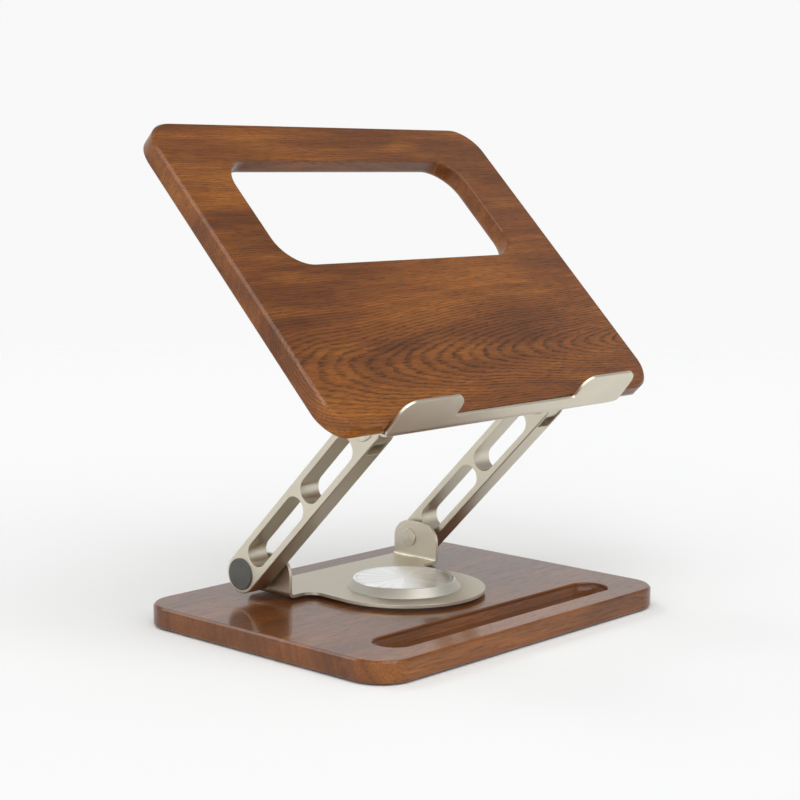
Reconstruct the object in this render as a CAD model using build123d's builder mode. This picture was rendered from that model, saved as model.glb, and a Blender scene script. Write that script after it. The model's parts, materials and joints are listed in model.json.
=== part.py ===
from build123d import *
from math import cos, radians, sin, sqrt
import os

os.makedirs("parts", exist_ok=True)

# A laptop stand. +X is the user's right, +Y points away from the user, +Z up. The origin is at
# the centre of the base, on the table. Lengths are millimetres. A side of -1 is the user's left.

# Base board
base_width = 260.0
base_depth = 200.0
base_thickness = 13.0
base_corner = 22.0
base_edge = 1.3
foot_radius = 9.0
foot_height = 2.0
foot_standoff = 0.8
foot_inset = 22.0
foot_gap = 0.1
foot_edge = 0.5

# Pen groove in the base board
groove_length = 203.0
groove_width = 25.0
groove_depth = 6.0
groove_cove = 5.0
groove_edge = 0.6
groove_y = -70.5

# Swivel between the base board and the plate
swivel_y = 3.5
ring_outer = 42.0
ring_inner = 20.0
ring_height = 3.5
ring_recess = 1.5
ring_gap = 0.1
ring_edge = 0.4
ring_screw_count = 4
ring_screw_circle = 31.0
ring_seat_radius = 2.8
ring_seat_depth = 0.6
spindle_radius = 6.0
spindle_seat = 2.0
spindle_head_radius = 14.0
spindle_head_height = 2.2
spindle_head_edge = 0.5
spindle_key = 6.0
spindle_key_depth = 1.6
spindle_thread = 4.0
spindle_nut_height = 4.0
spindle_nut_flats = 13.0
spindle_washer_radius = 10.0
spindle_washer_height = 1.6
nut_recess_radius = 12.0
nut_recess_depth = 7.0
bush_wall = 2.0
bush_flange_radius = 14.0
bush_flange = 0.6
spindle_spring_radius = 12.5
spindle_spring_height = 0.8
spindle_spring_metal = 0.4
running_fit = 0.05
thread_end = 0.6
head_edge = 0.3

# Swivel plate
sheet = 2.0
plate_radius = 50.0
plate_waist = 48.8
plate_waist_y = 27.0
flare_radius = 7.8
ear_inner = 65.35
ear_front = 34.8
ear_rear = 71.3
ear_top = 41.3
ear_corner = 12.0
ear_bend = 1.75

# Cap over the swivel
cap_height = 5.3
cap_top_radius = 31.0
cap_skirt_radius = 35.0
cap_wall = 1.2
cap_rim = 0.6
cap_line_radius = 29.2
cap_line = 0.3

# Arms and their lower pivots
pivot_y = 58.3
pivot_z = 30.3
arm_angle = 45.0
arm_length = 140.65
arm_depth = 23.8
arm_inner = 70.4
arm_outer = 85.2
arm_edge = 0.5
slot_width = 15.6
slot_start = 12.4
slot_web = 3.0
slot_middle = 73.3
slot_end = 127.2
pin_radius = 4.0
pin_head_radius = 5.8
pin_head_proud = 1.2
pin_flange_radius = 8.0
pin_flange = 1.0
pin_thread = 3.0
pin_nut_height = 5.0
pin_nut_flats = 10.0
hinge_bush = 1.45
pocket_radius = 8.4
pocket_floor = 4.8
washer_radius = 8.5
disc_spring_radius = 8.0
disc_spring_height = 1.2
disc_spring_metal = 0.6
pivot_cap_radius = 9.6
pivot_cap_height = 1.2
pivot_cap_edge = 0.6
pivot_cap_plug = 2.2
pivot_cap_wall = 1.4

# Upper pivots between the arms and the tray
cheek = 1.8
fork_gap = 0.5
lug_radius = 11.15
lug_foot = 2.0
lug_foot_reach = 3.0
lug_foot_fillet = 2.4
lug_washer = 0.4
lug_washer_radius = 9.5
upper_head_radius = 8.0
upper_head = 1.2
upper_socket_radius = 4.7
upper_socket_depth = 0.7
upper_thread = 2.5
upper_key = 4.0
upper_key_depth = 3.0

# Tray board
tray_angle = 45.0
tray_width = 286.0
tray_length = 225.4
tray_thickness = 13.0
tray_corner = 21.2
tray_edge = 1.5
pivot_below_face = 34.5
pivot_to_front = 22.45
cutout_width = 203.2
cutout_length = 81.5
cutout_corner = 20.5
cutout_front = 113.8
cutout_edge = 1.5
cutout_back_edge = 4.5

# Tray bracket with the lip and the two hooks
bracket_sheet = 1.6
lip_gap = 0.4
bend_radius = 6.0
lip_top = 0.4
lip_half = 105.5
lip_corner = 4.0
lip_bottom = -9.4
strap_half = 101.5
strap_rear = 17.35
strap_corner = 5.0
hook_inner = 54.5
hook_height = 16.5
hook_lean = 5.7
hook_corner = 9.5
hook_root = 1.0
tray_screw_spots = [(94.0, -6.0), (94.0, 10.0), (35.0, -6.0), (35.0, 10.0)]
tray_screw_radius = 1.6
tray_screw_depth = 8.0
tray_screw_head = 3.5
tray_screw_head_height = 1.8
tray_screw_dome = 0.9
lug_screw_offset = 6.0
lug_screw_radius = 2.0
lug_screw_depth = 12.0
lug_screw_head = 3.5
countersink = 1.5

# Levels and places that follow from the sizes above
board_bottom = foot_standoff
board_top = board_bottom + base_thickness
plate_bottom = board_top + ring_height - ring_recess
plate_top = plate_bottom + sheet
ear_outer = ear_inner + sheet
arm_radius = arm_depth / 2
upper_y = pivot_y - arm_length * cos(radians(arm_angle))
upper_z = pivot_z + arm_length * sin(radians(arm_angle))
fork_inner = arm_inner + cheek
fork_outer = arm_outer - cheek
lug_inner = fork_inner + lug_washer
lug_outer = fork_outer - lug_washer
bush_radius = pin_radius + running_fit + hinge_bush
bush_top = plate_top + bush_flange
head_bottom = bush_top + spindle_spring_height
nut_floor = board_bottom + nut_recess_depth
flange_face = ear_outer + pin_flange
pocket_face = arm_inner + pocket_floor
spring_face = pocket_face + disc_spring_height
nut_face = spring_face + pin_nut_height
lower_spot = (pivot_y, pivot_z)
upper_spot = (upper_y, upper_z)
sides = {"left": -1, "right": 1}

# How close two numbers must be to count as the same when an edge or a corner is looked up
hair = 0.01

# The tray's own plane lies in its front face: local x across, local y up the slope and local z
# out towards the laptop. Its origin is above the upper pivots.
slope_up = (0, cos(radians(tray_angle)), sin(radians(tray_angle)))
face_out = (0, -sin(radians(tray_angle)), cos(radians(tray_angle)))
tray_origin = (0, upper_y + pivot_below_face * face_out[1], upper_z + pivot_below_face * face_out[2])
tray_plane = Plane(origin=tray_origin, x_dir=(1, 0, 0), z_dir=face_out)
tray_front_edge = -pivot_to_front
tray_centre = tray_front_edge + tray_length / 2
tray_back = -tray_thickness
strap_back = tray_back - bracket_sheet

# The same place seen along +X: local x up the slope, local y out of the face.
profile_plane = Plane(origin=tray_origin, x_dir=slope_up, z_dir=(1, 0, 0))


def arm_plane(x):
    """Plane across the arms at x, with local x running up the arm from the lower pivot."""
    up_arm = (0, -cos(radians(arm_angle)), sin(radians(arm_angle)))
    return Plane(origin=(x, pivot_y, pivot_z), x_dir=up_arm, z_dir=(1, 0, 0))


def save(piece, name):
    """Names a finished piece and writes its file."""
    piece.label = name
    export_step(piece, "parts/" + name + ".step")


def rod(radius, side, near, far, spot):
    """A round bar across the stand, between two distances from the middle."""
    with BuildPart() as bar:
        with BuildSketch(Plane(origin=(side * near, spot[0], spot[1]), z_dir=(side, 0, 0))):
            Circle(radius)
        extrude(amount=far - near)
    return bar.part


# ---- Base ----
def foot_spots():
    """Centres of the four feet, by name."""
    reach_x = base_width / 2 - foot_inset
    reach_y = base_depth / 2 - foot_inset
    spots = {}
    for depth_name, depth_side in (("front", -1), ("rear", 1)):
        for name, side in sides.items():
            spots["foot_" + depth_name + "_" + name] = (side * reach_x, depth_side * reach_y)
    return spots


def groove_tool():
    """The solid a round-bottomed cutter takes out of the board for pens."""
    with BuildPart() as tool:
        with BuildSketch(Plane.XY.offset(board_top - groove_depth)):
            with Locations((0, groove_y)):
                SlotOverall(groove_length, groove_width)
        extrude(amount=groove_depth + 1.0)
        fillet(tool.faces().sort_by(Axis.Z)[0].edges(), radius=groove_cove)
        with BuildSketch(Plane.XY.offset(board_top - groove_edge)):
            with Locations((0, groove_y)):
                SlotOverall(groove_length, groove_width)
        extrude(amount=groove_edge * 2, taper=-45)
    return tool.part


def base_board():
    """Wooden board with the pen groove, the swivel seat and the pockets underneath."""
    with BuildPart() as board:
        with BuildSketch(Plane.XY.offset(board_bottom)):
            RectangleRounded(base_width, base_depth, base_corner)
        extrude(amount=base_thickness)
        chamfer(board.faces().sort_by(Axis.Z)[-1].edges(), length=base_edge)
        chamfer(board.faces().sort_by(Axis.Z)[0].edges(), length=base_edge)
        add(groove_tool(), mode=Mode.SUBTRACT)
        with BuildSketch(Plane.XY.offset(board_top - ring_recess)):
            with Locations((0, swivel_y)):
                Circle(ring_outer + ring_gap)
                Circle(ring_inner - ring_gap, mode=Mode.SUBTRACT)
        extrude(amount=ring_recess, mode=Mode.SUBTRACT)
        with BuildSketch(Plane.XY.offset(board_top - spindle_seat)):
            with Locations((0, swivel_y)):
                Circle(spindle_radius + ring_gap)
        extrude(amount=spindle_seat, mode=Mode.SUBTRACT)
        with BuildSketch(Plane.XY.offset(board_bottom)):
            with Locations((0, swivel_y)):
                Circle(spindle_thread + ring_gap)
        extrude(amount=base_thickness, mode=Mode.SUBTRACT)
        with BuildSketch(Plane.XY.offset(board_bottom)):
            with Locations((0, swivel_y)):
                Circle(nut_recess_radius)
        extrude(amount=nut_recess_depth, mode=Mode.SUBTRACT)
        with BuildSketch(Plane.XY.offset(board_bottom)):
            with Locations(*foot_spots().values()):
                Circle(foot_radius + foot_gap)
        extrude(amount=foot_height - foot_standoff, mode=Mode.SUBTRACT)
        add(ring_screws(), mode=Mode.SUBTRACT)
    return board.part


def ring_screws():
    """Small countersunk screws that hold the glide ring, as separate solids in one group."""
    head_radius = 2.6
    head_height = 1.4
    shank_radius = 1.25
    sink = 0.5
    length = 8.0
    head_top = plate_bottom - sink
    with BuildPart() as screws:
        with Locations((0, swivel_y, 0)):
            with PolarLocations(ring_screw_circle, ring_screw_count, start_angle=45):
                with Locations((0, 0, head_top - head_height / 2)):
                    Cone(shank_radius, head_radius, head_height)
                with Locations((0, 0, head_top - length / 2)):
                    Cylinder(shank_radius, length)
    return screws.part


def glide_ring():
    """Low-friction ring let into the board; the swivel plate slides on its top."""
    with BuildPart() as ring:
        with BuildSketch(Plane.XY.offset(board_top - ring_recess)):
            with Locations((0, swivel_y)):
                Circle(ring_outer)
                Circle(ring_inner, mode=Mode.SUBTRACT)
        extrude(amount=ring_height)
        chamfer(ring.faces().sort_by(Axis.Z)[-1].edges(), length=ring_edge)
        add(ring_screws(), mode=Mode.SUBTRACT)
        with BuildSketch(Plane.XY.offset(plate_bottom)):
            with Locations((0, swivel_y)):
                with PolarLocations(ring_screw_circle, ring_screw_count, start_angle=45):
                    Circle(ring_seat_radius)
        extrude(amount=-ring_seat_depth, mode=Mode.SUBTRACT)
    return ring.part


def foot(spot):
    """Rubber foot pressed into its pocket, with a softened lower rim."""
    with BuildPart() as pad:
        with BuildSketch(Plane.XY):
            with Locations(spot):
                Circle(foot_radius)
        extrude(amount=foot_height)
        fillet(pad.faces().sort_by(Axis.Z)[0].edges(), radius=foot_edge)
    return pad.part


def pivot_spindle():
    """Shouldered spindle fixed in the board; its head holds the plate down."""
    thread_bottom = nut_floor - spindle_washer_height - spindle_nut_height - thread_end
    with BuildPart() as spindle:
        with BuildSketch(Plane.XY.offset(head_bottom)):
            with Locations((0, swivel_y)):
                Circle(spindle_head_radius)
        extrude(amount=spindle_head_height)
        chamfer(spindle.faces().sort_by(Axis.Z)[-1].edges(), length=spindle_head_edge)
        with BuildSketch(Plane.XY.offset(board_top - spindle_seat)):
            with Locations((0, swivel_y)):
                Circle(spindle_radius)
        extrude(amount=head_bottom - board_top + spindle_seat)
        with BuildSketch(Plane.XY.offset(thread_bottom)):
            with Locations((0, swivel_y)):
                Circle(spindle_thread)
        extrude(amount=board_top - spindle_seat - thread_bottom)
        with BuildSketch(Plane.XY.offset(head_bottom + spindle_head_height)):
            with Locations((0, swivel_y)):
                RegularPolygon(spindle_key / 2, 6, major_radius=False)
        extrude(amount=-spindle_key_depth, mode=Mode.SUBTRACT)
    return spindle.part


def flat_ring(outer, inner, bottom, height):
    """Plain ring about the swivel axis."""
    with BuildPart() as ring:
        with BuildSketch(Plane.XY.offset(bottom)):
            with Locations((0, swivel_y)):
                Circle(outer)
                Circle(inner, mode=Mode.SUBTRACT)
        extrude(amount=height)
    return ring.part


def spindle_nut():
    """Thin hexagon nut in the recess under the board."""
    with BuildPart() as nut:
        with BuildSketch(Plane.XY.offset(nut_floor - spindle_washer_height)):
            with Locations((0, swivel_y)):
                RegularPolygon(spindle_nut_flats / 2, 6, major_radius=False)
                Circle(spindle_thread, mode=Mode.SUBTRACT)
        extrude(amount=-spindle_nut_height)
    return nut.part


def cone_spring(outer, inner, height, metal, place):
    """Disc spring: a shallow cone of sheet, standing on its wide rim."""
    land = 0.6
    with BuildPart() as spring:
        with BuildSketch(Plane.XZ):
            with BuildLine():
                Polyline((outer, 0), (inner, height - metal), (inner, height),
                         (inner + land, height), (outer, metal), close=True)
            make_face()
        revolve(axis=Axis.Z)
    return place * spring.part


# ---- Turntable ----
def swivel_plate():
    """Bent sheet: round in front, flaring to two upright ears behind."""
    with BuildPart() as plate:
        with BuildSketch(Plane.XY.offset(plate_bottom)) as outline:
            with BuildLine():
                front = ThreePointArc((-plate_radius, swivel_y), (0, swivel_y - plate_radius),
                                      (plate_radius, swivel_y))
                Line(front @ 1, (plate_waist, plate_waist_y))
                Line((plate_waist, plate_waist_y), (plate_waist, ear_front))
                Line((plate_waist, ear_front), (ear_inner - ear_bend, ear_front))
                Line((ear_inner - ear_bend, ear_front), (ear_inner - ear_bend, ear_rear))
                Line((ear_inner - ear_bend, ear_rear), (ear_bend - ear_inner, ear_rear))
                Line((ear_bend - ear_inner, ear_rear), (ear_bend - ear_inner, ear_front))
                Line((ear_bend - ear_inner, ear_front), (-plate_waist, ear_front))
                Line((-plate_waist, ear_front), (-plate_waist, plate_waist_y))
                Line((-plate_waist, plate_waist_y), front @ 0)
            make_face()
            inner_corners = []
            for vertex in outline.vertices():
                at_waist = abs(abs(vertex.X) - plate_waist) < hair
                if at_waist and abs(vertex.Y - ear_front) < hair:
                    inner_corners.append(vertex)
            fillet(inner_corners, radius=flare_radius - hair)
        extrude(amount=sheet)
        for side in sides.values():
            with BuildSketch(Plane.XZ.offset(-ear_front)):
                with BuildLine():
                    Polyline((side * (ear_inner - ear_bend), plate_bottom),
                             (side * ear_outer, plate_bottom), (side * ear_outer, ear_top),
                             (side * ear_inner, ear_top), (side * ear_inner, plate_top),
                             (side * (ear_inner - ear_bend), plate_top), close=True)
                make_face()
            extrude(amount=ear_front - ear_rear)
        bend_out = plate.edges().filter_by(Axis.Y).filter_by_position(
            Axis.Z, plate_bottom - hair, plate_bottom + hair)
        outer_bends = [edge for edge in bend_out if abs(abs(edge.center().X) - ear_outer) < hair]
        fillet(outer_bends, radius=ear_bend + sheet)
        bend_in = plate.edges().filter_by(Axis.Y).filter_by_position(
            Axis.Z, plate_top - hair, plate_top + hair)
        inner_bends = [edge for edge in bend_in if abs(abs(edge.center().X) - ear_inner) < hair]
        fillet(inner_bends, radius=ear_bend)
        tops = plate.edges().filter_by(Axis.X).filter_by_position(
            Axis.Z, ear_top - hair, ear_top + hair)
        fillet(tops, radius=ear_corner)
        with BuildSketch(Plane.XY.offset(plate_bottom)):
            with Locations((0, swivel_y)):
                Circle(spindle_radius + running_fit + bush_wall)
        extrude(amount=sheet, mode=Mode.SUBTRACT)
        for side in sides.values():
            add(rod(pin_head_radius, side, ear_inner, ear_outer, lower_spot), mode=Mode.SUBTRACT)
    return plate.part


def swivel_bush():
    """Flanged bush in the plate, running on the spindle."""
    with BuildPart() as bush:
        with BuildSketch(Plane.XY.offset(plate_bottom)):
            with Locations((0, swivel_y)):
                Circle(spindle_radius + running_fit + bush_wall)
        extrude(amount=sheet)
        with BuildSketch(Plane.XY.offset(plate_top)):
            with Locations((0, swivel_y)):
                Circle(bush_flange_radius)
        extrude(amount=bush_flange)
        with BuildSketch(Plane.XY.offset(plate_bottom)):
            with Locations((0, swivel_y)):
                Circle(spindle_radius + running_fit)
        extrude(amount=sheet + bush_flange, mode=Mode.SUBTRACT)
    return bush.part


def cap_disc():
    """Turned cap over the spindle head, with a bevelled skirt and a fine ring near its rim."""
    top = cap_height
    under = cap_height - cap_wall
    lean = (cap_skirt_radius - cap_top_radius) / cap_height
    with BuildPart() as cap:
        with BuildSketch(Plane.XZ) as section:
            with BuildLine():
                Polyline((0, under), (0, top), (cap_top_radius, top), (cap_skirt_radius, 0),
                         (cap_skirt_radius - cap_wall, 0),
                         (cap_skirt_radius - cap_wall - under * lean, under), close=True)
            make_face()
            rim = section.vertices().sort_by(Axis.Y)[-2:].sort_by(Axis.X)[-1]
            fillet(rim, radius=cap_rim)
        revolve(axis=Axis.Z)
        with BuildSketch(Plane.XY.offset(top)):
            Circle(cap_line_radius)
            Circle(cap_line_radius - cap_line, mode=Mode.SUBTRACT)
        extrude(amount=-cap_line, mode=Mode.SUBTRACT)
    return Pos(0, swivel_y, plate_top) * cap.part


def lower_pin(side):
    """Stepped pin riveted in the ear with a low head inside, threaded at its outer end."""
    with BuildPart() as pin:
        add(rod(pin_head_radius, side, ear_inner - pin_head_proud, ear_outer, lower_spot))
        head_face = pin.faces().sort_by(Axis.X)[0 if side > 0 else -1]
        fillet(head_face.edges(), radius=head_edge)
        add(rod(pin_flange_radius, side, ear_outer, flange_face, lower_spot))
        add(rod(pin_radius, side, flange_face, spring_face, lower_spot))
        add(rod(pin_thread, side, spring_face, nut_face + thread_end, lower_spot))
    return pin.part


def cross_ring(outer, inner, side, near, far, spot):
    """Ring or tube across the stand."""
    with BuildPart() as ring:
        add(rod(outer, side, near, far, spot))
        add(rod(inner, side, near, far, spot), mode=Mode.SUBTRACT)
    return ring.part


def lock_nut(side):
    """Hexagon nut in the arm's pocket, holding spring and washer together."""
    with BuildPart() as nut:
        with BuildSketch(Plane(origin=(side * spring_face, pivot_y, pivot_z), z_dir=(side, 0, 0))):
            RegularPolygon(pin_nut_flats / 2, 6, major_radius=False)
            Circle(pin_thread, mode=Mode.SUBTRACT)
        extrude(amount=pin_nut_height)
    return nut.part


# ---- Arms ----
def arm(side):
    """Flat bar with two long slots, a round lower end and a forked upper end."""
    near = min(side * arm_inner, side * arm_outer)
    width = arm_outer - arm_inner
    with BuildPart() as bar:
        with BuildSketch(arm_plane(near)):
            with Locations((arm_length / 2, 0)):
                SlotCenterToCenter(arm_length, arm_depth)
        extrude(amount=width)
        chamfer(bar.faces().filter_by(Axis.X).edges(), length=arm_edge)
        with BuildSketch(arm_plane(near)):
            for start, stop in ((slot_start, slot_middle - slot_web / 2),
                                (slot_middle + slot_web / 2, slot_end)):
                with Locations(((start + stop) / 2, 0)):
                    SlotOverall(stop - start, slot_width)
        extrude(amount=width, mode=Mode.SUBTRACT)
        fork_near = min(side * fork_inner, side * fork_outer)
        fork_floor = arm_length - lug_radius - fork_gap
        with BuildSketch(arm_plane(fork_near)):
            with Locations((fork_floor + arm_depth, 0)):
                Rectangle(arm_depth * 2, arm_depth * 2)
        extrude(amount=fork_outer - fork_inner, mode=Mode.SUBTRACT)
        add(rod(pin_radius + running_fit, side, arm_inner, arm_outer, upper_spot),
            mode=Mode.SUBTRACT)
        add(rod(bush_radius, side, arm_inner, arm_outer, lower_spot), mode=Mode.SUBTRACT)
        add(rod(pocket_radius, side, pocket_face, arm_outer, lower_spot), mode=Mode.SUBTRACT)
    return bar.part


def pivot_cap(side):
    """Dark plug pressed into the pocket over the lock nut."""
    plug_face = arm_outer - pivot_cap_plug
    with BuildPart() as cap:
        add(rod(pivot_cap_radius, side, arm_outer, arm_outer + pivot_cap_height, lower_spot))
        outer_face = cap.faces().sort_by(Axis.X)[-1 if side > 0 else 0]
        fillet(outer_face.edges(), radius=pivot_cap_edge)
        add(rod(pocket_radius, side, plug_face, arm_outer, lower_spot))
        hollow_radius = pocket_radius - pivot_cap_wall
        add(rod(hollow_radius, side, plug_face, arm_outer, lower_spot), mode=Mode.SUBTRACT)
    return cap.part


def upper_screw(side):
    """Shouldered screw from the outside through fork and lug, with a socket in its head."""
    tip = arm_inner - thread_end
    face = arm_outer + upper_head
    socket_floor = face - upper_socket_depth
    with BuildPart() as screw:
        add(rod(upper_head_radius, side, arm_outer, face, upper_spot))
        outer_face = screw.faces().sort_by(Axis.X)[-1 if side > 0 else 0]
        chamfer(outer_face.edges(), length=head_edge)
        add(rod(pin_radius, side, fork_inner, arm_outer, upper_spot))
        add(rod(upper_thread, side, tip, fork_inner, upper_spot))
        add(rod(upper_socket_radius, side, socket_floor, face, upper_spot), mode=Mode.SUBTRACT)
        with BuildSketch(Plane(origin=(side * socket_floor, upper_y, upper_z), z_dir=(side, 0, 0))):
            RegularPolygon(upper_key / 2, 6, major_radius=False)
        extrude(amount=-upper_key_depth, mode=Mode.SUBTRACT)
    return screw.part


def upper_nut(side):
    """Flanged barrel nut on the inner side of the fork."""
    face = arm_inner - upper_head
    with BuildPart() as nut:
        add(rod(upper_head_radius, side, face, arm_inner, upper_spot))
        inner_face = nut.faces().sort_by(Axis.X)[0 if side > 0 else -1]
        chamfer(inner_face.edges(), length=head_edge)
        add(rod(pin_radius, side, arm_inner, fork_inner, upper_spot))
        add(rod(upper_thread, side, face, fork_inner, upper_spot), mode=Mode.SUBTRACT)
    return nut.part


# ---- Tray ----
def tray_board():
    """Wooden board that carries the laptop, with a wide cut-out and a rounded lower back edge."""
    cutout_centre = tray_front_edge + cutout_front + cutout_length / 2
    with BuildPart() as board:
        with BuildSketch(tray_plane.offset(tray_back)):
            with Locations((0, tray_centre)):
                RectangleRounded(tray_width, tray_length, tray_corner)
        extrude(amount=tray_thickness)
        chamfer(board.faces().filter_by(tray_plane).edges(), length=tray_edge)
        with BuildSketch(tray_plane.offset(tray_back)):
            with Locations((0, cutout_centre)):
                RectangleRounded(cutout_width, cutout_length, cutout_corner)
        extrude(amount=tray_thickness, mode=Mode.SUBTRACT)
        rims = []
        for edge in board.faces().filter_by(tray_plane).edges():
            spot = tray_plane.to_local_coords(edge.center())
            inside_x = abs(spot.X) < cutout_width / 2 + hair
            if inside_x and abs(spot.Y - cutout_centre) < cutout_length / 2 + hair:
                rims.append((spot.Z, edge))
        fillet([edge for height, edge in rims if height > tray_back / 2], radius=cutout_edge)
        fillet([edge for height, edge in rims if height < tray_back / 2], radius=cutout_back_edge)
        with BuildSketch(profile_plane.offset(-tray_width / 2)):
            centre = (tray_front_edge + bend_radius, tray_back + bend_radius)
            with Locations((tray_front_edge + bend_radius / 2, tray_back + bend_radius / 2)):
                Rectangle(bend_radius, bend_radius)
            with Locations(centre):
                Circle(bend_radius, mode=Mode.SUBTRACT)
        extrude(amount=tray_width, mode=Mode.SUBTRACT)
        add(tray_screws(), mode=Mode.SUBTRACT)
    return board.part


def tray_bracket():
    """Bent sheet behind and round the tray's lower edge, rising into two leaning hooks."""
    lean = sin(radians(hook_lean)) / cos(radians(hook_lean))
    inner_face = tray_front_edge - lip_gap
    flange_top = inner_face + (hook_height + tray_edge) * lean
    flange_root = inner_face + (tray_back + tray_edge) * lean
    flange_low = flange_root - bracket_sheet * lean
    with BuildPart() as bracket:
        with BuildSketch(profile_plane.offset(-lip_half)) as section:
            with BuildLine():
                Polyline((strap_rear, strap_back), (strap_rear, tray_back),
                         (flange_root, tray_back), (flange_top, hook_height),
                         (flange_top - bracket_sheet, hook_height),
                         (flange_low - bracket_sheet, strap_back), close=True)
            make_face()
            fillet(nearest(section.vertices(), flange_root, tray_back), radius=bend_radius)
            fillet(nearest(section.vertices(), flange_low - bracket_sheet, strap_back),
                   radius=bend_radius + bracket_sheet)
        extrude(amount=2 * lip_half)
        add(front_waste(), mode=Mode.SUBTRACT)
        add(rear_waste(), mode=Mode.SUBTRACT)
        add(tray_screws(), mode=Mode.SUBTRACT)
        add(lug_screws(), mode=Mode.SUBTRACT)
    return bracket.part


def nearest(vertices, x, y):
    """The one corner of a sketch that lies closest to a point given in its own plane."""
    return min(vertices, key=lambda corner: (corner.X - x) ** 2 + (corner.Y - y) ** 2)



def front_waste():
    """What the sheet's front outline leaves out: beside and between the hooks."""
    reach = 30.0
    front_view = Plane(origin=tray_origin, x_dir=(1, 0, 0), z_dir=(0, -slope_up[1], -slope_up[2]))
    out = 1 if front_view.y_dir.Z > 0 else -1
    with BuildPart() as waste:
        with BuildSketch(front_view.offset(pivot_to_front - bend_radius)):
            Rectangle(4 * lip_half, 4 * reach)
            with BuildSketch(mode=Mode.PRIVATE) as kept:
                with BuildLine():
                    Polyline((-lip_half, lip_bottom), (-lip_half, hook_height),
                             (-hook_inner, hook_height), (-hook_inner, lip_top),
                             (hook_inner, lip_top), (hook_inner, hook_height),
                             (lip_half, hook_height), (lip_half, lip_bottom), close=True)
                make_face()
                for side in sides.values():
                    for x, y, radius in ((lip_half, lip_bottom, lip_corner),
                                         (lip_half, hook_height, hook_corner),
                                         (hook_inner, hook_height, hook_corner),
                                         (hook_inner, lip_top, hook_root)):
                        fillet(nearest(kept.vertices(), side * x, y), radius=radius)
                with Locations((0, lip_bottom - reach / 2 + lip_corner / 2)):
                    Rectangle(2 * strap_half, reach + lip_corner)
            add(kept.sketch.mirror(Plane.XZ) if out < 0 else kept.sketch, mode=Mode.SUBTRACT)
        extrude(amount=reach)
    return waste.part


def rear_waste():
    """What rounds the two upper corners of the strap behind the tray."""
    depth = 2 * bracket_sheet
    with BuildPart() as waste:
        with BuildSketch(tray_plane.offset(tray_back + bracket_sheet / 2)):
            with Locations((0, strap_rear)):
                Rectangle(4 * strap_half, 2 * strap_corner)
            with Locations((0, strap_rear - 2 * strap_corner)):
                RectangleRounded(2 * strap_half, 4 * strap_corner, strap_corner,
                                 mode=Mode.SUBTRACT)
        extrude(amount=-depth)
    return waste.part


def tray_screws():
    """Pan-head wood screws through the strap into the board, as one group."""
    spots = [(side * x, y) for x, y in tray_screw_spots for side in sides.values()]
    with BuildPart() as screws:
        with BuildSketch(tray_plane.offset(strap_back)):
            with Locations(*spots):
                Circle(tray_screw_head)
        extrude(amount=-tray_screw_head_height)
        fillet(screws.faces().sort_by(Axis((0, 0, 0), face_out))[0:len(spots)].edges(),
               radius=tray_screw_dome)
        with BuildSketch(tray_plane.offset(strap_back)):
            with Locations(*spots):
                Circle(tray_screw_radius)
        extrude(amount=bracket_sheet + tray_screw_depth)
    return screws.part


def lug_spots():
    """Places of the lug screws in the tray's plane, with the side each is on."""
    middle = (lug_inner + lug_outer) / 2
    return [(side * middle, y) for side in sides.values() for y in (-lug_screw_offset, lug_screw_offset)]


def lug_screws():
    """Countersunk screws from the strap's front face into the lugs, as one group."""
    with BuildPart() as screws:
        with BuildSketch(tray_plane.offset(tray_back)):
            with Locations(*lug_spots()):
                Circle(lug_screw_head)
        extrude(amount=-countersink, taper=45)
        with BuildSketch(tray_plane.offset(tray_back)):
            with Locations(*lug_spots()):
                Circle(lug_screw_radius)
        extrude(amount=-(bracket_sheet + lug_screw_depth))
    return screws.part


def lug_foot_block(side):
    """Foot of a lug against the strap, with hollow fillets running into the lug's two sides."""
    middle = side * (lug_inner + lug_outer) / 2
    half = (lug_outer - lug_inner) / 2
    reach = half + lug_foot_reach
    root = -strap_back
    step = root + lug_foot
    top = step + 2 * lug_foot_fillet
    section_plane = Plane(origin=tray_origin, x_dir=(1, 0, 0), z_dir=slope_up)
    with BuildPart() as foot_block:
        with BuildSketch(section_plane.offset(-lug_radius)) as section:
            with BuildLine():
                Polyline((middle - reach, root), (middle + reach, root),
                         (middle + reach, step), (middle + half, step),
                         (middle + half, top), (middle - half, top),
                         (middle - half, step), (middle - reach, step), close=True)
            make_face()
            corners = [nearest(section.vertices(), middle - half, step),
                       nearest(section.vertices(), middle + half, step)]
            fillet(corners, radius=lug_foot_fillet)
        extrude(amount=2 * lug_radius)
    return foot_block.part


def hinge_lug(side):
    """Block that hangs from the strap into the arm's fork, bored for the upper pivot."""
    near = min(side * lug_inner, side * lug_outer)
    pivot_drop = -pivot_below_face
    with BuildPart() as lug:
        with BuildSketch(profile_plane.offset(near)):
            with Locations((0, (strap_back + pivot_drop) / 2)):
                Rectangle(2 * lug_radius, strap_back - pivot_drop)
            with Locations((0, pivot_drop)):
                Circle(lug_radius)
        extrude(amount=lug_outer - lug_inner)
        add(lug_foot_block(side))
        add(rod(bush_radius, side, lug_inner, lug_outer, upper_spot), mode=Mode.SUBTRACT)
        add(lug_screws(), mode=Mode.SUBTRACT)
    return lug.part


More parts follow.
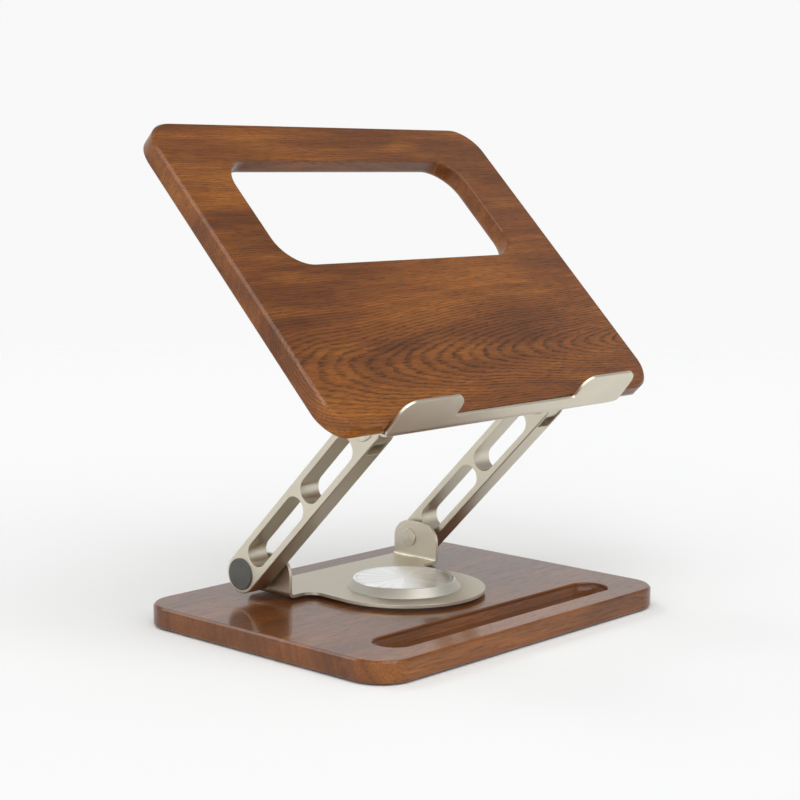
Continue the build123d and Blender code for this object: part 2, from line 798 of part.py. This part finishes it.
# ---- Writing the pieces ----
save(base_board(), "base_board")
for foot_name, foot_spot in foot_spots().items():
    save(foot(foot_spot), foot_name)
save(glide_ring(), "glide_ring")
save(ring_screws(), "glide_ring_screws")
save(pivot_spindle(), "pivot_spindle")
save(flat_ring(spindle_washer_radius, spindle_thread + ring_gap,
               nut_floor - spindle_washer_height, spindle_washer_height), "spindle_washer")
save(spindle_nut(), "spindle_nut")
save(cone_spring(spindle_spring_radius, spindle_radius + ring_gap, spindle_spring_height,
                 spindle_spring_metal, Pos(0, swivel_y, bush_top)), "spindle_spring")
save(swivel_plate(), "swivel_plate")
save(swivel_bush(), "swivel_bush")
save(cap_disc(), "cap_disc")

for side_name, side in sides.items():
    save(lower_pin(side), "lower_pin_" + side_name)
    save(cross_ring(washer_radius, pin_radius + ring_gap, side, flange_face, arm_inner, lower_spot),
         "friction_washer_" + side_name)
    spring_place = Plane(origin=(side * pocket_face, pivot_y, pivot_z), z_dir=(side, 0, 0)).location
    save(cone_spring(disc_spring_radius, pin_radius + ring_gap, disc_spring_height,
                     disc_spring_metal, spring_place), "disc_spring_" + side_name)
    save(lock_nut(side), "lock_nut_" + side_name)
    save(arm(side), "arm_" + side_name)
    save(cross_ring(bush_radius, pin_radius + running_fit, side, arm_inner, pocket_face, lower_spot),
         "arm_bush_" + side_name)
    save(pivot_cap(side), "pivot_cap_" + side_name)
    save(upper_screw(side), "upper_screw_" + side_name)
    save(upper_nut(side), "upper_nut_" + side_name)
    save(hinge_lug(side), "hinge_lug_" + side_name)
    save(cross_ring(bush_radius, pin_radius + running_fit, side, lug_inner, lug_outer, upper_spot),
         "lug_bush_" + side_name)
    for washer_name, near, far in (("inner", fork_inner, lug_inner), ("outer", lug_outer, fork_outer)):
        save(cross_ring(lug_washer_radius, pin_radius + ring_gap, side, near, far, upper_spot),
             "lug_washer_" + washer_name + "_" + side_name)

save(tray_board(), "tray_board")
save(tray_bracket(), "tray_bracket")
save(tray_screws(), "tray_screws")
save(lug_screws(), "lug_screws")
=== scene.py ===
import json
import math

import bpy
from mathutils import Matrix, Vector


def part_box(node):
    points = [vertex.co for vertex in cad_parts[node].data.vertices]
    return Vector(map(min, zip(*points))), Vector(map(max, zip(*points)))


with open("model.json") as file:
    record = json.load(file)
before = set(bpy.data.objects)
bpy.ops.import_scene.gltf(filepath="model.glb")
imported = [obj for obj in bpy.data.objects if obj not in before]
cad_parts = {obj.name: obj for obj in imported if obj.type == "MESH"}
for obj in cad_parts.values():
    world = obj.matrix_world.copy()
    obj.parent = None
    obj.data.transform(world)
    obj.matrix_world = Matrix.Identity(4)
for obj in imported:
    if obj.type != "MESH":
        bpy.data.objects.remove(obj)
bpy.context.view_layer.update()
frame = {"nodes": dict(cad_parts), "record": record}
nodes = frame["nodes"]
slots = {entry["node"]: entry["material_slot"] for entry in frame["record"]["subparts"]}

MM = 0.001
TRAY_TILT = math.radians(45)


def top_mm(node):
    """Height of a piece's highest point, in millimetres."""
    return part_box(node)[1][2] / MM


def centre_mm(node):
    """Middle of a piece seen from above, in millimetres."""
    low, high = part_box(node)
    return ((low[0] + high[0]) / 2 / MM, (low[1] + high[1]) / 2 / MM, 0.0)


def tray_face_mm():
    """How far the tray's front face lies from the origin, square to the face, in millimetres."""
    for mount in frame["record"]["mounts"]:
        if mount["name"] == "laptop_rest":
            y, z = mount["pos_m"][1:]
            return (z * math.cos(TRAY_TILT) - y * math.sin(TRAY_TILT)) / MM


# ---- Node helpers ----
class Tree:
    """A node tree, with short ways to add and link nodes."""

    def __init__(self, tree):
        self.tree = tree
        tree.nodes.clear()

    def add(self, kind, **values):
        """Adds a node and sets its properties."""
        node = self.tree.nodes.new(kind)
        for name, value in values.items():
            setattr(node, name, value)
        return node

    def put(self, node, socket, value):
        """Sets an input to a value, or links it to an output."""
        if isinstance(value, bpy.types.NodeSocket):
            self.tree.links.new(value, node.inputs[socket])
        else:
            node.inputs[socket].default_value = value

    def math(self, operation, a, b=None, clamp=False):
        node = self.add("ShaderNodeMath", operation=operation, use_clamp=clamp)
        self.put(node, 0, a)
        if b is not None:
            self.put(node, 1, b)
        return node.outputs[0]

    def vector(self, operation, a, b=None):
        node = self.add("ShaderNodeVectorMath", operation=operation)
        self.put(node, 0, a)
        if b is not None:
            self.put(node, 1, b)
        return node.outputs["Value" if operation == "LENGTH" else "Vector"]

    def split(self, vector):
        node = self.add("ShaderNodeSeparateXYZ")
        self.put(node, 0, vector)
        return node.outputs

    def join(self, x, y, z):
        node = self.add("ShaderNodeCombineXYZ")
        self.put(node, 0, x)
        self.put(node, 1, y)
        self.put(node, 2, z)
        return node.outputs[0]

    def stretch(self, vector, x, y, z):
        """The vector scaled along each axis."""
        return self.vector("MULTIPLY", vector, (x, y, z))

    def noise(self, vector, scale=1.0, detail=2.0, roughness=0.5):
        node = self.add("ShaderNodeTexNoise", noise_dimensions="3D", normalize=True)
        self.put(node, "Vector", vector)
        self.put(node, "Scale", scale)
        self.put(node, "Detail", detail)
        self.put(node, "Roughness", roughness)
        return node.outputs[0]

    def remap(self, value, from_low, from_high, to_low=0.0, to_high=1.0, kind="LINEAR"):
        node = self.add("ShaderNodeMapRange", interpolation_type=kind, clamp=True)
        for socket, number in zip(("Value", "From Min", "From Max", "To Min", "To Max"),
                                  (value, from_low, from_high, to_low, to_high)):
            self.put(node, socket, number)
        return node.outputs[0]

    def mix(self, amount, a, b, blend="MIX"):
        """A mix of two colours."""
        node = self.add("ShaderNodeMix", data_type="RGBA", blend_type=blend)
        self.put(node, 0, amount)
        self.put(node, 6, a)
        self.put(node, 7, b)
        return node.outputs[2]

    def ramp(self, value, stops):
        node = self.add("ShaderNodeValToRGB")
        elements = node.color_ramp.elements
        while len(elements) < len(stops):
            elements.new(0.5)
        for element, (place, colour) in zip(elements, stops):
            element.position = place
            element.color = (*colour, 1.0)
        self.put(node, 0, value)
        return node.outputs[0]

    def bump(self, height, strength, distance, normal):
        node = self.add("ShaderNodeBump")
        self.put(node, "Strength", strength)
        self.put(node, "Distance", distance)
        self.put(node, "Height", height)
        self.put(node, "Normal", normal)
        return node.outputs[0]

    def soft_edges(self, radius):
        """A normal that rounds sharp edges over the given radius."""
        node = self.add("ShaderNodeBevel", samples=4)
        self.put(node, "Radius", radius)
        return node.outputs[0]


def material(name):
    """A new material with its tree, a surface shader already joined to the output."""
    mat = bpy.data.materials.new(name)
    mat.use_nodes = True
    tree = Tree(mat.node_tree)
    output = tree.add("ShaderNodeOutputMaterial")
    shader = tree.add("ShaderNodeBsdfPrincipled")
    tree.tree.links.new(shader.outputs[0], output.inputs[0])
    return mat, tree, shader


def object_mm(tree):
    """Object coordinates in millimetres."""
    coordinates = tree.add("ShaderNodeTexCoord").outputs["Object"]
    return tree.stretch(coordinates, 1000.0, 1000.0, 1000.0)


# ---- Wood ----
def grain_space(tree, tilt, face):
    """Millimetres along the grain, across it and out of the board's face."""
    spot = object_mm(tree)
    if tilt:
        turn = tree.add("ShaderNodeVectorRotate", rotation_type="X_AXIS")
        tree.put(turn, "Vector", spot)
        tree.put(turn, "Angle", -tilt)
        spot = turn.outputs[0]
    return tree.vector("SUBTRACT", spot, (0.0, 0.0, face))


def wood(name, tilt, face, pith, seed, figure, tones, gloss):
    """Varnished brown wood with its grain along X.

    tilt and face put the pattern in the board's plane. pith gives, in millimetres, the growth
    centre's place up the board, its depth at x = 0 and how fast it rises towards +X. figure is how
    strongly the growth rings show. tones are the dark, middle and bright colours. gloss is the
    specular level, the varnish weight and the varnish roughness.
    """
    mat, tree, shader = material(name)
    spot = grain_space(tree, tilt, face)
    shifted = tree.vector("ADD", spot, (seed * 173.0, seed * 91.0, seed * 57.0))

    # Growth rings about a slightly leaning centre line, bent by slow noise. Lengths in millimetres.
    ring_spacing, squeeze = 2.1, 1.4
    sway_by, wander_by, ragged_by = 12.0, 2.6, 1.2
    sway = tree.noise(tree.stretch(shifted, 0.008, 0.010, 0.010), detail=1.0)
    wander = tree.noise(tree.stretch(shifted, 0.035, 0.10, 0.10), detail=3.0, roughness=0.55)
    ragged = tree.noise(tree.stretch(shifted, 0.14, 0.75, 0.75), detail=2.0, roughness=0.6)
    axes = tree.split(spot)
    centre, depth, rise = pith
    across = tree.math("ADD", tree.math("SUBTRACT", axes[1], centre),
                       tree.math("MULTIPLY", tree.math("SUBTRACT", sway, 0.5), sway_by))
    below = tree.math("SUBTRACT", tree.math("SUBTRACT", depth, axes[2]),
                      tree.math("MULTIPLY", axes[0], rise))
    across = tree.math("MULTIPLY", across, squeeze)
    radius = tree.vector("LENGTH", tree.join(across, below, 0.0))
    radius = tree.math("ADD", radius, tree.math("MULTIPLY", wander, wander_by))
    radius = tree.math("ADD", radius, tree.math("MULTIPLY", ragged, ragged_by))
    ring = tree.math("FRACT", tree.math("DIVIDE", radius, ring_spacing))
    late = tree.remap(ring, 0.30, 0.72, kind="SMOOTHSTEP")
    late = tree.math("MULTIPLY", late, tree.remap(ring, 0.80, 1.0, 1.0, 0.0, kind="SMOOTHSTEP"))

    # Each ring's dark part is broken into dashes
    dash = tree.noise(tree.stretch(shifted, 0.17, 1.15, 1.15), detail=2.0, roughness=0.6)
    dashes = tree.remap(dash, 0.40, 0.60, kind="SMOOTHSTEP")
    late = tree.math("MULTIPLY", late, tree.remap(dashes, 0.0, 1.0, 0.30, 1.0))

    # Where the rings show most: near the growth centre, fading into straight grain
    near = tree.remap(radius, 34.0, 95.0, 1.0, 0.45, kind="SMOOTHSTEP")
    strength = tree.math("MULTIPLY", near, figure)

    # Fibres and pores drawn out along the grain
    fibre = tree.noise(tree.stretch(shifted, 0.045, 1.3, 1.3), detail=4.0, roughness=0.6)
    pore = tree.noise(tree.stretch(shifted, 0.13, 1.25, 1.25), detail=3.0, roughness=0.62)
    pores = tree.remap(pore, 0.50, 0.66, kind="SMOOTHSTEP")
    tone = tree.noise(tree.stretch(shifted, 0.006, 0.030, 0.030), detail=2.0, roughness=0.5)
    patch = tree.noise(tree.stretch(shifted, 0.014, 0.075, 0.075), detail=3.0, roughness=0.55)

    # Slow changes of tone, darker up the board, then bands along the rings
    darker_per_mm = 0.0005
    fall = tree.math("MULTIPLY", tree.math("SUBTRACT", centre, axes[1]), darker_per_mm)
    tone = tree.math("ADD", tone, fall)
    dark, middle, bright = tones
    base = tree.ramp(tone, ((0.32, dark), (0.50, middle), (0.68, bright)))
    base = tree.mix(tree.remap(patch, 0.52, 0.72, 0.0, 0.7), base, (*bright, 1.0))
    band_spot = tree.join(tree.math("MULTIPLY", radius, 0.16), seed, 0.0)
    band = tree.noise(band_spot, detail=2.0, roughness=0.6)
    base = tree.mix(1.0, base, tree.remap(band, 0.3, 0.7, 0.80, 1.22), blend="MULTIPLY")
    base = tree.mix(1.0, base, tree.remap(fibre, 0.32, 0.68, 0.74, 1.24), blend="MULTIPLY")
    ring_shade = tree.math("SUBTRACT", 1.0, tree.math("MULTIPLY", late, strength))
    base = tree.mix(1.0, base, ring_shade, blend="MULTIPLY")
    pore_shade = tree.math("MULTIPLY", pores, tree.remap(late, 0.0, 1.0, 0.30, 0.62))
    pore_colour = (dark[0] * 0.42, dark[1] * 0.38, dark[2] * 0.36, 1.0)
    base = tree.mix(pore_shade, base, pore_colour)
    tree.put(shader, "Base Color", base)

    # Wood with shallow pores under a smooth varnish, both with softly rounded edges
    edge_radius = 0.0008
    level, varnish, varnish_roughness = gloss
    roughness = tree.remap(fibre, 0.3, 0.7, 0.30, 0.40)
    roughness = tree.math("ADD", roughness, tree.math("MULTIPLY", pores, 0.12))
    tree.put(shader, "Roughness", roughness)
    tree.put(shader, "IOR", 1.5)
    tree.put(shader, "Specular IOR Level", level)
    tree.put(shader, "Coat Weight", varnish)
    tree.put(shader, "Coat Roughness", varnish_roughness)
    height = tree.math("SUBTRACT", tree.math("MULTIPLY", fibre, 0.5),
                       tree.math("MULTIPLY", pores, 0.8))
    rounded = tree.soft_edges(edge_radius)
    tree.put(shader, "Normal", tree.bump(height, 0.25, 0.00008, rounded))
    tree.put(shader, "Coat Normal", rounded)
    return mat


# ---- Metals ----
def anodised(name):
    """Fine-blasted metal with a warm champagne colour and soft bright edges."""
    mat, tree, shader = material(name)
    spot = object_mm(tree)
    cloud = tree.noise(tree.stretch(spot, 0.03, 0.03, 0.03), detail=3.0)
    grit = tree.noise(tree.stretch(spot, 3.2, 3.2, 3.2), detail=2.0, roughness=0.7)
    deep, pale = (0.64, 0.586, 0.482, 1.0), (0.70, 0.645, 0.536, 1.0)
    base = tree.mix(tree.remap(cloud, 0.3, 0.7), deep, pale)
    base = tree.mix(1.0, base, tree.remap(grit, 0.3, 0.7, 0.94, 1.05), blend="MULTIPLY")
    tree.put(shader, "Base Color", base)
    tree.put(shader, "Metallic", 1.0)
    roughness = tree.math("ADD", tree.remap(grit, 0.3, 0.7, 0.33, 0.42),
                          tree.remap(cloud, 0.3, 0.7, -0.02, 0.03))
    tree.put(shader, "Roughness", roughness)
    tree.put(shader, "Normal", tree.bump(grit, 0.25, 0.00006, tree.soft_edges(0.00045)))
    return mat


def turned(name, centre, top):
    """Bright metal turned in fine rings about a vertical axis, with painted highlight wedges on its
    top and a smoother bevelled skirt.
    """
    mat, tree, shader = material(name)
    spot = object_mm(tree)
    axes = tree.split(tree.vector("SUBTRACT", spot, centre))
    radius = tree.vector("LENGTH", tree.join(axes[0], axes[1], 0.0))
    ring_spot = tree.join(tree.math("MULTIPLY", radius, 2.4), 0.0, 0.0)
    rings = tree.noise(ring_spot, detail=4.0, roughness=0.7)
    skirt = tree.remap(axes[2], top - 0.45, top - 0.1, 1.0, 0.0)

    # Painted highlight: wedges of brighter and duller tone round the axis, brightest towards one
    # fixed side, standing in for the reflections a turned face shows
    angle = tree.math("ARCTAN2", axes[1], axes[0])
    painted_highlight_angle = math.radians(145.0)
    broad_painted_highlight = tree.math("COSINE", tree.math("SUBTRACT", angle, painted_highlight_angle))
    painted_highlight_spot = tree.join(tree.math("COSINE", angle), tree.math("SINE", angle), 4.0)
    fine = tree.noise(painted_highlight_spot, scale=3.4, detail=2.0, roughness=0.55)
    fine = tree.remap(fine, 0.36, 0.64, -0.8, 0.6)
    painted_highlight_wedge = tree.math("ADD", tree.remap(broad_painted_highlight, -0.5, 0.7), fine, clamp=True)
    painted_shade_colour, painted_highlight_colour = (0.84, 0.84, 0.825, 1.0), (1.0, 1.0, 0.99, 1.0)
    skirt_colour = (0.50, 0.478, 0.425, 1.0)
    # Painted highlight and painted shade: the wedges mix a duller and a brilliant tone into the
    # metal's colour
    base = tree.mix(painted_highlight_wedge, painted_shade_colour, painted_highlight_colour)
    base = tree.mix(1.0, base, tree.remap(rings, 0.3, 0.7, 0.95, 1.03), blend="MULTIPLY")
    base = tree.mix(skirt, base, skirt_colour)
    tree.put(shader, "Base Color", base)
    tree.put(shader, "Metallic", 1.0)
    roughness = tree.remap(rings, 0.3, 0.7, 0.17, 0.24)
    tree.put(shader, "Roughness", tree.math("ADD", roughness, tree.math("MULTIPLY", skirt, 0.22)))
    tree.put(shader, "Anisotropic", 0.45)
    around_axis = tree.join(tree.math("MULTIPLY", axes[1], -1.0), axes[0], 0.0)
    tree.put(shader, "Tangent", tree.vector("NORMALIZE", around_axis))
    tree.put(shader, "Normal", tree.bump(rings, 0.15, 0.00005, tree.soft_edges(0.0004)))
    return mat


def machined(name, low, high, roughness):
    """Plain machined metal with fine tool marks."""
    mat, tree, shader = material(name)
    spot = object_mm(tree)
    marks = tree.noise(tree.stretch(spot, 6.0, 1.2, 1.2), detail=3.0, roughness=0.6)
    cloud = tree.noise(tree.stretch(spot, 0.3, 0.3, 0.3), detail=2.0)
    tree.put(shader, "Base Color", tree.mix(tree.remap(cloud, 0.3, 0.7), low, high))
    tree.put(shader, "Metallic", 1.0)
    tree.put(shader, "Roughness", tree.remap(marks, 0.3, 0.7, roughness - 0.05, roughness + 0.07))
    tree.put(shader, "Normal", tree.bump(marks, 0.2, 0.00004, tree.soft_edges(0.0003)))
    return mat


# ---- Plastics and rubber ----
def moulded(name, low, high, roughness, grain):
    """Moulded plastic or rubber with a fine grain."""
    mat, tree, shader = material(name)
    spot = object_mm(tree)
    skin = tree.noise(tree.stretch(spot, grain, grain, grain), detail=3.0, roughness=0.6)
    cloud = tree.noise(tree.stretch(spot, 0.12, 0.12, 0.12), detail=2.0)
    tree.put(shader, "Base Color", tree.mix(tree.remap(cloud, 0.3, 0.7), low, high))
    tree.put(shader, "Roughness", tree.remap(skin, 0.3, 0.7, roughness - 0.06, roughness + 0.08))
    tree.put(shader, "Normal", tree.bump(skin, 0.3, 0.00006, tree.soft_edges(0.0004)))
    return mat


tray_wood = wood("tray_wood", TRAY_TILT, tray_face_mm(), (78.0, 32.0, 0.15), 1.0, 0.66,
                 ((0.124, 0.037, 0.0070), (0.190, 0.059, 0.0105), (0.285, 0.096, 0.0140)),
                 (0.12, 0.42, 0.11))
base_wood = wood("base_wood", 0.0, top_mm("base_board"), (-150.0, 60.0, 0.05), 2.0, 0.36,
                 ((0.112, 0.034, 0.0070), (0.155, 0.048, 0.0090), (0.225, 0.074, 0.0130)),
                 (0.12, 0.60, 0.10))
finishes = {
    "champagne_aluminium": anodised("champagne_anodised"),
    "turned_aluminium": turned("turned_aluminium", centre_mm("cap_disc"), top_mm("cap_disc")),
    "steel": machined("machined_steel", (0.42, 0.41, 0.40, 1), (0.52, 0.51, 0.50, 1), 0.32),
    "plated_steel": machined("champagne_plating", (0.60, 0.55, 0.45, 1), (0.68, 0.63, 0.52, 1), 0.3),
    "bronze": machined("bearing_bronze", (0.46, 0.31, 0.15, 1), (0.55, 0.39, 0.20, 1), 0.35),
    "slide_plastic": moulded("slide_plastic", (0.70, 0.69, 0.66, 1), (0.78, 0.77, 0.74, 1),
                             0.45, 1.5),
    "dark_plastic": moulded("dark_plastic", (0.068, 0.068, 0.062, 1), (0.088, 0.088, 0.080, 1),
                            0.5, 2.2),
    "rubber": moulded("rubber", (0.022, 0.022, 0.022, 1), (0.035, 0.035, 0.034, 1), 0.75, 1.8),
}
for name, node in nodes.items():
    if slots[name] == "walnut":
        chosen = tray_wood if name == "tray_board" else base_wood
    else:
        chosen = finishes[slots[name]]
    node.data.materials.clear()
    node.data.materials.append(chosen)


# ---- Floor ----
def floor():
    """A pale table top that fades into the backdrop far from the stand."""
    radius, corners = 2.2, 96
    fade_from, fade_to = 0.6, 2.1
    turns = [2 * math.pi * i / corners for i in range(corners)]
    points = [(radius * math.cos(turn), radius * math.sin(turn), 0.0) for turn in turns]
    mesh = bpy.data.meshes.new("floor")
    mesh.from_pydata(points, [], [list(range(corners))])
    table = bpy.data.objects.new("floor", mesh)
    bpy.context.scene.collection.objects.link(table)
    mat = bpy.data.materials.new("pale_floor")
    mat.use_nodes = True
    tree = Tree(mat.node_tree)
    output = tree.add("ShaderNodeOutputMaterial")
    matt = tree.add("ShaderNodeBsdfDiffuse")
    tree.put(matt, "Color", (0.846, 0.854, 0.848, 1.0))
    clear = tree.add("ShaderNodeBsdfTransparent")
    spot = tree.add("ShaderNodeTexCoord").outputs["Object"]
    fade = tree.remap(tree.vector("LENGTH", spot), fade_from, fade_to, kind="SMOOTHSTEP")
    both = tree.add("ShaderNodeMixShader")
    tree.put(both, 0, fade)
    tree.put(both, 1, matt.outputs[0])
    tree.put(both, 2, clear.outputs[0])
    tree.put(output, 0, both.outputs[0])
    table.data.materials.append(mat)


floor()


# ---- Light ----
def backdrop(seen, horizon, overhead):
    """Studio surroundings: one even tone as seen, and as light a dome that darkens upwards."""
    world = bpy.data.worlds.new("studio")
    bpy.context.scene.world = world
    world.use_nodes = True
    tree = Tree(world.node_tree)
    output = tree.add("ShaderNodeOutputWorld")
    shown = tree.add("ShaderNodeBackground")
    tree.put(shown, "Color", (*seen, 1.0))
    lit = tree.add("ShaderNodeBackground")
    height = tree.split(tree.add("ShaderNodeTexCoord").outputs["Generated"])[2]
    dome = tree.remap(height, 0.05, 0.75, horizon, overhead, kind="SMOOTHSTEP")
    tree.put(lit, "Color", tree.join(dome, dome, dome))
    path = tree.add("ShaderNodeLightPath")
    both = tree.add("ShaderNodeMixShader")
    tree.put(both, 0, path.outputs["Is Camera Ray"])
    tree.put(both, 1, lit.outputs[0])
    tree.put(both, 2, shown.outputs[0])
    tree.put(output, 0, both.outputs[0])


def soft_sun(name, direction, strength, spread):
    """Even light from one direction, spread over a wide angle so its shadows are soft."""
    lamp = bpy.data.lights.new(name, "SUN")
    lamp.energy = strength
    lamp.angle = math.radians(spread)
    sun = bpy.data.objects.new(name, lamp)
    sun.location = direction
    sun.rotation_euler = (-Vector(direction)).to_track_quat("-Z", "Y").to_euler()
    bpy.context.scene.collection.objects.link(sun)


backdrop((0.938, 0.945, 0.938), 0.95, 0.36)
soft_sun("key", (-0.2, -1.3, 1.6), 1.32, 55.0)
soft_sun("side", (-0.8, -0.16, 0.50), 0.95, 64.0)
soft_sun("edge_left", (-0.56, -0.25, 0.785), 0.35, 24.0)
soft_sun("edge_back", (-0.13, 0.667, 0.73), 0.40, 24.0)


# ---- Camera ----
def camera():
    """The camera: left of the stand, slightly above it, with a long lens."""
    azimuth, pitch, roll = math.radians(-47.73), math.radians(7.57), math.radians(0.46)
    lens, sensor = 82.01, 36.0
    place_mm = (-812.5, -730.56, 278.29)
    forward = Vector((-math.sin(azimuth) * math.cos(pitch),
                      math.cos(azimuth) * math.cos(pitch), -math.sin(pitch)))
    level = Vector((math.cos(azimuth), math.sin(azimuth), 0.0))
    upright = level.cross(forward)
    right = math.cos(roll) * level + math.sin(roll) * upright
    up = math.cos(roll) * upright - math.sin(roll) * level
    data = bpy.data.cameras.new("camera")
    data.sensor_width = sensor
    data.lens = lens
    data.clip_end = 20.0
    eye = bpy.data.objects.new("camera", data)
    turn = Matrix((right, up, -forward)).transposed().to_4x4()
    turn.translation = Vector(place_mm) * MM
    eye.matrix_world = turn
    bpy.context.scene.collection.objects.link(eye)
    bpy.context.scene.camera = eye


camera()
bpy.context.scene.view_settings.view_transform = "Standard"
